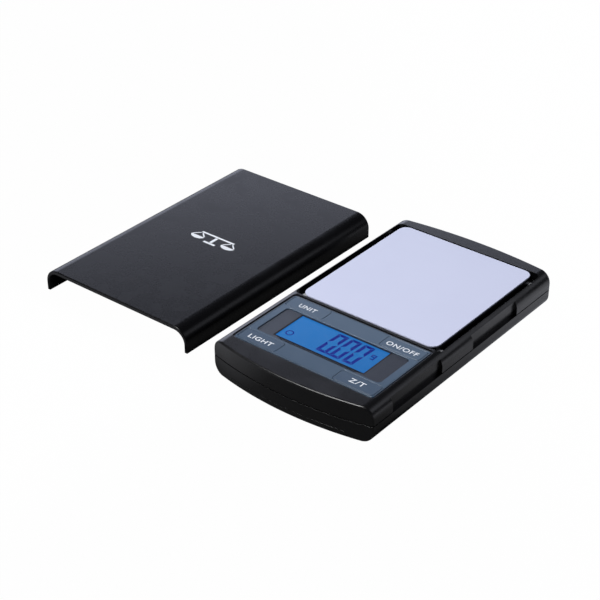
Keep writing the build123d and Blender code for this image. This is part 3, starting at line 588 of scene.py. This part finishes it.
# %% A shape tree
class ShapeTree:
    """A Geometry Nodes tree with named inputs, run once and baked to a mesh."""

    def __init__(self, name, sizes):
        self.tree = bpy.data.node_groups.new(name, "GeometryNodeTree")
        self.sizes = sizes
        self.tree.interface.new_socket("Geometry", in_out="OUTPUT", socket_type="NodeSocketGeometry")
        for size_name in sizes:
            self.tree.interface.new_socket(size_name, in_out="INPUT", socket_type="NodeSocketFloat")
        self.given = self.tree.nodes.new("NodeGroupInput")

    def size(self, name):
        return self.given.outputs[name]

    def node(self, kind, settings=None, **inputs):
        made = self.tree.nodes.new(kind)
        for setting, value in (settings or {}).items():
            setattr(made, setting, value)
        for socket_name, value in inputs.items():
            socket = made.inputs[socket_name.replace("_", " ")]
            if isinstance(value, bpy.types.NodeSocket):
                self.tree.links.new(value, socket)
            else:
                socket.default_value = value
        return made

    def math(self, operation, first, second):
        made = self.tree.nodes.new("ShaderNodeMath")
        made.operation = operation
        for socket, value in zip(made.inputs, (first, second)):
            if isinstance(value, bpy.types.NodeSocket):
                self.tree.links.new(value, socket)
            else:
                socket.default_value = value
        return made.outputs[0]

    def finish(self, shape, material):
        realized = self.node("GeometryNodeRealizeInstances", Geometry=shape)
        coloured = self.node("GeometryNodeSetMaterial", Geometry=realized.outputs[0], Material=material)
        result = self.tree.nodes.new("NodeGroupOutput")
        self.tree.links.new(coloured.outputs[0], result.inputs[0])

    def source(self):
        """An object that carries the tree, with every input set by its identifier."""
        holder = bpy.data.objects.new(self.tree.name + "_source", bpy.data.meshes.new(self.tree.name))
        bpy.context.scene.collection.objects.link(holder)
        modifier = holder.modifiers.new("shape", "NODES")
        modifier.node_group = self.tree
        for item in self.tree.interface.items_tree:
            if item.item_type == "SOCKET" and item.in_out == "INPUT":
                modifier[item.identifier] = self.sizes[item.name]
        return holder


# %% [markdown]
# ## The digits
# A lit zero is six segments: a top, a bottom and two on each side. Each is a bar whose outer edge
# is longer than its inner one, so that neighbours meet at a mitre with a hair of a gap.
# Two bars are made as small meshes, a long one for the sides and a short one for the ends.
# The tree puts them on the corners of a grid, turned so that the long edge faces out, repeats
# that zero along a line, and leans the row.


# %% One segment bar, six to a zero, three zeros
DIGIT_WIDTH = 4.95 * MM
DIGIT_HEIGHT = 14.4 * MM
DIGIT_PITCH = 6.25 * MM
DIGIT_STROKE = 1.42 * MM
DIGIT_GAP = 0.2 * MM
DIGIT_LEAN = 0.058      # sideways for each unit of height
DIGITS = 3
DIGITS_LEFT = -3.25 * MM
DIGITS_MIDDLE_Y = -34.25 * MM


def bar_mesh(name, length, stroke, thickness):
    """A bar along X whose ends are mitred in from its -Y edge, as a closed plate."""
    half, rise = length / 2, stroke / 2
    outline = [(-half, -rise), (half, -rise), (half - stroke, rise), (stroke - half, rise)]
    points = [(x, y, z) for z in (0.0, thickness) for x, y in outline]
    count = len(outline)
    foot, face = tuple(reversed(range(count))), tuple(range(count, 2 * count))
    sides = [(i, (i + 1) % count, (i + 1) % count + count, i + count) for i in range(count)]
    mesh = bpy.data.meshes.new(name)
    mesh.from_pydata(points, [], [foot, face, *sides])
    return mesh


def bar_object(name, length):
    """A bar kept out of the picture, for the tree to repeat."""
    bar = bpy.data.objects.new(name, bar_mesh(name, length, DIGIT_STROKE, INK_THICKNESS))
    bpy.context.scene.collection.objects.link(bar)
    return bar


side_bar = bar_object("side_bar", DIGIT_HEIGHT / 2 - DIGIT_GAP)
end_bar = bar_object("end_bar", DIGIT_WIDTH - 2 * DIGIT_GAP)


def digit_tree():
    sizes = {"Width": DIGIT_WIDTH - DIGIT_STROKE, "Height": DIGIT_HEIGHT - DIGIT_STROKE,
             "Stroke": DIGIT_STROKE, "Pitch": DIGIT_PITCH, "Lean": DIGIT_LEAN}
    shape = ShapeTree("digit_row", sizes)
    position = shape.tree.nodes.new("GeometryNodeInputPosition")
    parts = shape.node("ShaderNodeSeparateXYZ", Vector=position.outputs[0])
    whole = shape.math("ADD", shape.size("Height"), shape.size("Stroke"))
    corners = shape.node("GeometryNodeMeshGrid", Size_X=shape.size("Width"),
                         Size_Y=shape.math("DIVIDE", whole, 2.0), Vertices_X=2, Vertices_Y=2)
    upright = shape.node("GeometryNodeObjectInfo", Object=side_bar)
    half_turns = shape.math("MULTIPLY", parts.outputs[0], math.pi)
    side_turn = shape.node("ShaderNodeCombineXYZ",
                           Z=shape.math("DIVIDE", half_turns, shape.size("Width")))
    sides = shape.node("GeometryNodeInstanceOnPoints", Points=corners.outputs[0],
                       Instance=upright.outputs["Geometry"], Rotation=side_turn.outputs[0])
    rise = shape.node("ShaderNodeCombineXYZ", Y=shape.size("Height"))
    drop = shape.node("ShaderNodeCombineXYZ", Y=shape.math("DIVIDE", shape.size("Height"), -2.0))
    middles = shape.node("GeometryNodeMeshLine", {"mode": "OFFSET"}, Count=2,
                         Start_Location=drop.outputs[0], Offset=rise.outputs[0])
    across = shape.node("GeometryNodeObjectInfo", Object=end_bar)
    share = shape.math("DIVIDE", parts.outputs[1], shape.size("Height"))
    end_turn = shape.node("ShaderNodeCombineXYZ",
                          Z=shape.math("MULTIPLY", shape.math("ADD", share, 0.5), math.pi))
    ends = shape.node("GeometryNodeInstanceOnPoints", Points=middles.outputs[0],
                      Instance=across.outputs["Geometry"], Rotation=end_turn.outputs[0])
    zero = shape.tree.nodes.new("GeometryNodeJoinGeometry")
    shape.tree.links.new(sides.outputs[0], zero.inputs[0])
    shape.tree.links.new(ends.outputs[0], zero.inputs[0])
    step = shape.node("ShaderNodeCombineXYZ", X=shape.size("Pitch"))
    places = shape.node("GeometryNodeMeshLine", {"mode": "OFFSET"}, Count=DIGITS,
                        Offset=step.outputs[0])
    row = shape.node("GeometryNodeInstanceOnPoints", Points=places.outputs[0],
                     Instance=zero.outputs[0])
    solid = shape.node("GeometryNodeRealizeInstances", Geometry=row.outputs[0])
    slide = shape.node("ShaderNodeCombineXYZ",
                       X=shape.math("MULTIPLY", parts.outputs[1], shape.size("Lean")))
    leaning = shape.node("GeometryNodeSetPosition", Geometry=solid.outputs[0],
                         Offset=slide.outputs[0])
    shape.finish(leaning.outputs[0], segment_finish)
    return shape.source()


digits_place = Vector((DIGITS_LEFT + DIGIT_WIDTH / 2, DIGITS_MIDDLE_Y, glass_top))
settle(digit_tree(), "lcd_digits", Matrix.Translation(digits_place), "case", segment_finish)
for bar in (side_bar, end_bar):
    bpy.data.objects.remove(bar)

# %% [markdown]
# ## Lines that follow a path
# The display's ring symbol and the thin line printed round the front plate are the same thing:
# a flat film of ink swept along a closed path. The tree below takes the path's size and corner
# radius and the line's width, and a ring is simply a square path whose corners are fully rounded.


# %% A printed line along a rounded path
CORNER_STEPS = 12
RING_SIZE = 2.95 * MM
RING_LINE = 0.5 * MM
RING_X = -18.4 * MM
RING_Y = -38.6 * MM
BORDER_INSET = 0.42 * MM
BORDER_LINE = 0.16 * MM
BORDER_CORNER = 1.0 * MM


def line_tree(name, width, length, corner, line, material):
    sizes = {"Width": width, "Length": length, "Corner": corner, "Line": line}
    shape = ShapeTree(name, sizes)
    path = shape.node("GeometryNodeCurvePrimitiveQuadrilateral", Width=shape.size("Width"),
                      Height=shape.size("Length"))
    rounded = shape.node("GeometryNodeFilletCurve", {"mode": "POLY"}, Curve=path.outputs[0],
                         Radius=shape.size("Corner"), Count=CORNER_STEPS, Limit_Radius=True)
    film = shape.node("GeometryNodeCurvePrimitiveQuadrilateral", Width=shape.size("Line"),
                      Height=INK_THICKNESS)
    swept = shape.node("GeometryNodeCurveToMesh", Curve=rounded.outputs[0],
                       Profile_Curve=film.outputs[0])
    flat = shape.node("GeometryNodeSetShadeSmooth", Geometry=swept.outputs[0], Shade_Smooth=False)
    shape.finish(flat.outputs[0], material)
    return shape.source()


ring_place = Vector((RING_X, RING_Y, glass_top + INK_THICKNESS / 2))
ring = line_tree("ring_line", RING_SIZE, RING_SIZE, RING_SIZE / 2, RING_LINE, segment_finish)
settle(ring, "lcd_ring", Matrix.Translation(ring_place), "case", segment_finish)

border_place = Vector((plate_middle.x, plate_middle.y, plate_top + INK_THICKNESS / 2))
border = line_tree("border_line", plate_size.x - 2 * BORDER_INSET, plate_size.y - 2 * BORDER_INSET,
                   BORDER_CORNER, BORDER_LINE, line_ink)
settle(border, "plate_border", Matrix.Translation(border_place), "case", line_ink)

# %% [markdown]
# ## The point and the unit on the display
# The decimal point is one small leaning square, and the unit is a small letter g for grams.
# The letter is five bars, in the manner of the digits beside it, so it stays clear at this size.


# %% Decimal point and unit
POINT_SIZE = 1.15 * MM
POINT_SHIFT = -0.35 * MM        # from midway between the first two digits
UNIT_WIDTH = 2.2 * MM
UNIT_HEIGHT = 3.3 * MM
UNIT_STROKE = 0.55 * MM
UNIT_GAP = 0.05 * MM
UNIT_CROSS = 0.15 * MM          # the letter's middle bar, above its own middle
UNIT_X = 17.0 * MM
UNIT_Y = -32.3 * MM


def flat_piece(name, outlines, thickness):
    """Closed flat shapes from outlines that run anticlockwise, standing thickness high from z = 0."""
    points, faces = [], []
    for outline in outlines:
        first, count = len(points), len(outline)
        points += [(x, y, 0.0) for x, y in outline] + [(x, y, thickness) for x, y in outline]
        faces.append([first + i for i in reversed(range(count))])
        faces.append([first + count + i for i in range(count)])
        for i in range(count):
            j = (i + 1) % count
            faces.append([first + i, first + j, first + count + j, first + count + i])
    mesh = bpy.data.meshes.new(name)
    mesh.from_pydata(points, [], faces)
    source = bpy.data.objects.new(name + "_source", mesh)
    bpy.context.scene.collection.objects.link(source)
    return source


def bar_between(start, end, width):
    """The outline of a straight bar between two points, anticlockwise."""
    run = Vector(end) - Vector(start)
    side = Vector((-run.y, run.x)).normalized() * width / 2
    a, b = Vector(start), Vector(end)
    return [tuple(a - side), tuple(b - side), tuple(b + side), tuple(a + side)]


point_x = DIGITS_LEFT + (DIGIT_WIDTH + DIGIT_PITCH - POINT_SIZE) / 2 + POINT_SHIFT
point_y = DIGITS_MIDDLE_Y - DIGIT_HEIGHT / 2
point_outline = [(0, 0), (POINT_SIZE, 0), (POINT_SIZE * (1 + DIGIT_LEAN), POINT_SIZE),
                 (POINT_SIZE * DIGIT_LEAN, POINT_SIZE)]
point = flat_piece("lcd_point", [point_outline], INK_THICKNESS)
settle(point, "lcd_point", Matrix.Translation((point_x, point_y, glass_top)), "case",
       segment_finish)

unit_x, unit_y = (UNIT_WIDTH - UNIT_STROKE) / 2, (UNIT_HEIGHT - UNIT_STROKE) / 2
unit_end = unit_x - UNIT_STROKE / 2 - UNIT_GAP
unit_tip = unit_y + UNIT_STROKE / 2
unit_ends = [((-unit_end, y), (unit_end, y)) for y in (-unit_y, UNIT_CROSS, unit_y)]
unit_ends += [((unit_x, -unit_tip), (unit_x, unit_tip)), ((-unit_x, 0), (-unit_x, unit_tip))]
unit_bars = [bar_between(start, end, UNIT_STROKE) for start, end in unit_ends]
unit_place = Matrix.Translation((UNIT_X, UNIT_Y, glass_top))
settle(flat_piece("lcd_unit", unit_bars, INK_THICKNESS), "lcd_unit", unit_place, "case",
       segment_finish)

# %% [markdown]
# ## The words on the keys
# Each word is a text object. Its ink film is the text's own extrusion, and the text is stretched
# to the width that the keys' wide lettering has, then laid on its key and made a mesh.
# The word rides on the key's body, so that it goes down with the key.


# %% Print the words
LETTER_SPREAD = 0.012       # thickens the strokes, as a share of the letters' size
LETTER_SPACING = 1.12
# for each key: its word, the word's width and height, and its shift from the key's middle, in mm
KEY_WORDS = {
    "unit": ("UNIT", 8.3, 2.5, 0.05, -0.4),
    "power": ("ON/OFF", 14.5, 2.6, -0.15, -0.5),
    "light": ("LIGHT", 11.5, 2.5, 0.15, -0.4),
    "zero": ("Z/T", 6.9, 2.6, 0.1, -0.1),
}


def text_piece(name, words, width, height, middle, body, finish):
    """Words fitted to a width and a height, centred at middle, as a film of ink."""
    text = bpy.data.curves.new(name + "_text", "FONT")
    text.body = words
    text.space_character = LETTER_SPACING
    text.extrude = 0.5
    text.offset = LETTER_SPREAD
    source = bpy.data.objects.new(name + "_source", text)
    bpy.context.scene.collection.objects.link(source)
    bpy.context.view_layer.update()
    flat = bpy.data.meshes.new_from_object(source.evaluated_get(bpy.context.evaluated_depsgraph_get()))
    left, right, low, high = spread([v.co for v in flat.vertices])
    bpy.data.meshes.remove(flat)
    fit = Matrix.Diagonal((width / (right - left), height / (high - low), INK_THICKNESS, 1.0))
    centring = Matrix.Translation((-(left + right) / 2, -(low + high) / 2, 0))
    rest = Matrix.Translation((middle[0], middle[1], middle[2] + INK_THICKNESS / 2))
    return settle(source, name, rest @ fit @ centring, body, finish)


for key_name, (words, width, height, shift_x, shift_y) in KEY_WORDS.items():
    middle, _, top = place_of("key_" + key_name)
    text_piece("word_" + key_name, words, width * MM, height * MM,
               (middle.x + shift_x * MM, middle.y + shift_y * MM, top), key_name + "_key",
               white_ink)

# %% [markdown]
# ## The mark on the cover
# The cover carries a printed mark at its middle. Here it is a plain pictogram of a two-pan
# balance, which says what the object is. It is cut like a stencil, in pieces that don't touch,
# so that every piece is a clean closed film of ink.


# %% A balance pictogram
MARK_SPAN = 17.0 * MM       # from the middle of one pan to the middle of the other
MARK_TOP = 2.7 * MM         # height of the beam above the mark's middle
MARK_SHIFT = (0.5 * MM, 0.8 * MM)
BEAM_STROKE = 1.05 * MM
BEAM_PAST_PAN = 0.6 * MM
POST_STROKE = 1.35 * MM
POST_LOW = -2.6 * MM
POST_TOP = 1.9 * MM
FOOT_HALF = 3.2 * MM
FOOT_Y = -3.4 * MM
FOOT_STROKE = 1.2 * MM
PAN_TOP = -0.9 * MM
PAN_WIDTH = 7.2 * MM
PAN_DEPTH = 2.3 * MM
CORD_STROKE = 0.6 * MM
CORD_TOP = 1.85 * MM
CORD_TOP_SPREAD = 0.5 * MM
CORD_LOW = -0.6 * MM
CORD_LOW_SPREAD = 0.44 * PAN_WIDTH


def bowl(middle_x, top_y, width, depth, steps=20):
    """A shallow pan: flat above, a half ellipse below."""
    return [(middle_x + width / 2 * math.cos(math.pi + math.pi * i / steps),
             top_y + depth * math.sin(math.pi + math.pi * i / steps)) for i in range(steps + 1)]


beam_end = MARK_SPAN / 2 + BEAM_PAST_PAN
mark_shapes = [
    bar_between((-beam_end, MARK_TOP), (beam_end, MARK_TOP), BEAM_STROKE),
    bar_between((0, POST_LOW), (0, POST_TOP), POST_STROKE),
    bar_between((-FOOT_HALF, FOOT_Y), (FOOT_HALF, FOOT_Y), FOOT_STROKE),
]
for side in (-1, 1):
    hang_x = side * MARK_SPAN / 2
    mark_shapes.append(bowl(hang_x, PAN_TOP, PAN_WIDTH, PAN_DEPTH))
    for lean in (-1, 1):
        mark_shapes.append(bar_between((hang_x + lean * CORD_TOP_SPREAD, CORD_TOP),
                                       (hang_x + lean * CORD_LOW_SPREAD, CORD_LOW), CORD_STROKE))
mark_place = Matrix.Translation((cover_middle.x + MARK_SHIFT[0], cover_middle.y + MARK_SHIFT[1],
                                 cover_top))
settle(flat_piece("cover_mark", mark_shapes, INK_THICKNESS), "cover_mark", mark_place, "loose_cover",
       white_ink)

# %% [markdown]
# ## Floor and light
# The scale stands on a plain white sweep. Glossy black plastic has almost no colour of its own:
# what is seen on it is the room. So the light is what shapes it. One broad panel stands beyond
# the scale, no higher than the mirror line of the tops, so that they fade from grey at the far
# end to black at the near end. A softbox above and in front lights the pale platform, and a
# small dim panel draws a line along the right shoulder.
# The floor is white to the eye, but in reflections it is dark in front and brighter beyond the
# far right and near left corners, as a floor at the edge of a pool of light is. A floor that is
# white all over would turn every black side grey.


# %% Floor
FLOOR_SEEN = 0.99
FLOOR_DARK = (0.10, 0.10, 0.10, 1.0)
FLOOR_PALE = (0.30, 0.30, 0.31, 1.0)
POOL_REACH = 125.0      # mm from the origin to the full glow, towards the far right
POOL_GLOW = (0.48, 0.49, 0.54, 1.0)
CORNER_X = -20.0        # mm; the near left glow starts here, and grows leftwards
CORNER_X_REACH = 40.0
CORNER_Y = -62.0        # mm; it starts here too, and grows towards the near end
CORNER_Y_REACH = 8.0
CORNER_SHARE = 0.75
FLOOR_HALF = 3.0        # metres
FLOOR_DROP = 0.05 * MM


def make_floor():
    finish = Finish("floor_white", Roughness=0.9, Emission_Strength=1.0)
    across, along = finish.axis(0), finish.axis(1)
    leftwards = ((CORNER_X - across) / CORNER_X_REACH).clamp()
    corner = leftwards * ((CORNER_Y - along) / CORNER_Y_REACH).clamp()
    pool = ((across + along) / POOL_REACH).clamp() + CORNER_SHARE * corner
    finish.vary(Base_Color=finish.blend(pool, FLOOR_DARK, FLOOR_PALE),
                Emission_Color=finish.blend(pool, UNLIT, POOL_GLOW))
    glow = finish.tree.nodes.new("ShaderNodeEmission")
    seen = finish.node("ShaderNodeLightPath", {}, output="Is Camera Ray")
    finish.mix_shaders(seen * FLOOR_SEEN, finish.shader, glow)
    mesh = bpy.data.meshes.new("floor")
    corners = [(x * FLOOR_HALF, y * FLOOR_HALF, 0) for x, y in ((-1, -1), (1, -1), (1, 1), (-1, 1))]
    mesh.from_pydata(corners, [], [(0, 1, 2, 3)])
    mesh.materials.append(finish.material)
    floor = bpy.data.objects.new("floor", mesh)
    floor.location.z = cad_low.z - FLOOR_DROP
    bpy.context.scene.collection.objects.link(floor)


make_floor()


# %% Lights and the room
def add_panel(name, place, aim, width, height, radiance, colour=(1.0, 1.0, 1.0)):
    """A soft rectangular light that faces a point, with the brightness of its face given."""
    data = bpy.data.lights.new(name, "AREA")
    data.shape = "RECTANGLE"
    data.size = width
    data.size_y = height
    data.energy = radiance * math.pi * width * height
    data.color = colour
    lamp = bpy.data.objects.new(name, data)
    lamp.location = place
    lamp.rotation_euler = (Vector(aim) - Vector(place)).to_track_quat("-Z", "Y").to_euler()
    bpy.context.scene.collection.objects.link(lamp)


def set_room(brightness, colour):
    world = bpy.data.worlds.new("room")
    world.use_nodes = True
    background = world.node_tree.nodes["Background"]
    background.inputs[0].default_value = (*colour, 1.0)
    background.inputs[1].default_value = brightness
    bpy.context.scene.world = world


stage_middle = Vector((-0.045, 0.0, 0.0))
right_shoulder = Vector((0.036, 0.0, 0.015))
add_panel("softbox", place=(-0.28, -0.50, 0.95), aim=stage_middle, width=0.5, height=0.5,
          radiance=14.6)
add_panel("far_panel", place=(-1.05, 0.95, 0.36), aim=stage_middle, width=1.6, height=0.72,
          radiance=1.9, colour=(0.78, 0.82, 1.0))
add_panel("shoulder_panel", place=(0.194, 0.199, 0.174), aim=right_shoulder, width=0.2, height=0.12,
          radiance=0.8, colour=(0.88, 0.9, 1.0))
set_room(brightness=0.06, colour=(0.85, 0.88, 1.0))
bpy.context.scene.view_settings.view_transform = "Standard"

# %% [markdown]
# ## The camera
# A long lens from the near right, a little over thirty degrees up. The camera looks at a point
# between the scale and its cover.

# %% Camera
CAMERA_LENS = 93.06
CAMERA_AZIMUTH = 38.7
CAMERA_ELEVATION = 31.8
CAMERA_DISTANCE = 0.6506
CAMERA_TARGET = Vector((-0.0455, 0.0016, 0.0))
SENSOR_WIDTH = 36.0
NEAREST_SEEN = 0.01


def set_camera():
    turn, rise = math.radians(CAMERA_AZIMUTH), math.radians(CAMERA_ELEVATION)
    back = Vector((math.sin(turn) * math.cos(rise), -math.cos(turn) * math.cos(rise), math.sin(rise)))
    data = bpy.data.cameras.new("camera")
    data.lens = CAMERA_LENS
    data.sensor_width = SENSOR_WIDTH
    data.clip_start = NEAREST_SEEN
    camera = bpy.data.objects.new("camera", data)
    camera.location = CAMERA_TARGET + back * CAMERA_DISTANCE
    camera.rotation_euler = (-back).to_track_quat("-Z", "Y").to_euler()
    bpy.context.scene.collection.objects.link(camera)
    bpy.context.scene.camera = camera


set_camera()
